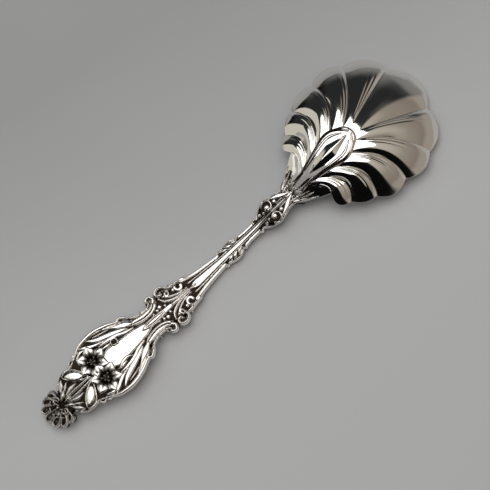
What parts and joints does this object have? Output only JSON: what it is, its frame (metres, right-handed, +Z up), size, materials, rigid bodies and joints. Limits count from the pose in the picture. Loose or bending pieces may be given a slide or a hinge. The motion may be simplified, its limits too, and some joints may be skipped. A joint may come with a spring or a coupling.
{
  "type": "dessert serving spoon",
  "caption": "Silver dessert serving spoon with a wide fluted shell bowl and a flower and leaf relief handle, lying with the back of the bowl up.",
  "frame": {"origin": "on the table, under the middle of the spoon's length and width", "axes": "+X along the spoon to the tip of the bowl, +Z up from the table, the back of the bowl up"},
  "size_m": [0.2336, 0.067, 0.0195],
  "materials": {
    "silver": "polished silver",
    "oxidised_silver": "polished silver with dark oxide in the recesses of the relief"
  },
  "bodies": {
    "root": {"bowl": "silver", "handle": "oxidised_silver", "blossom_pair": "oxidised_silver", "end_palmette": "oxidised_silver"}
  },
  "joints": []
}
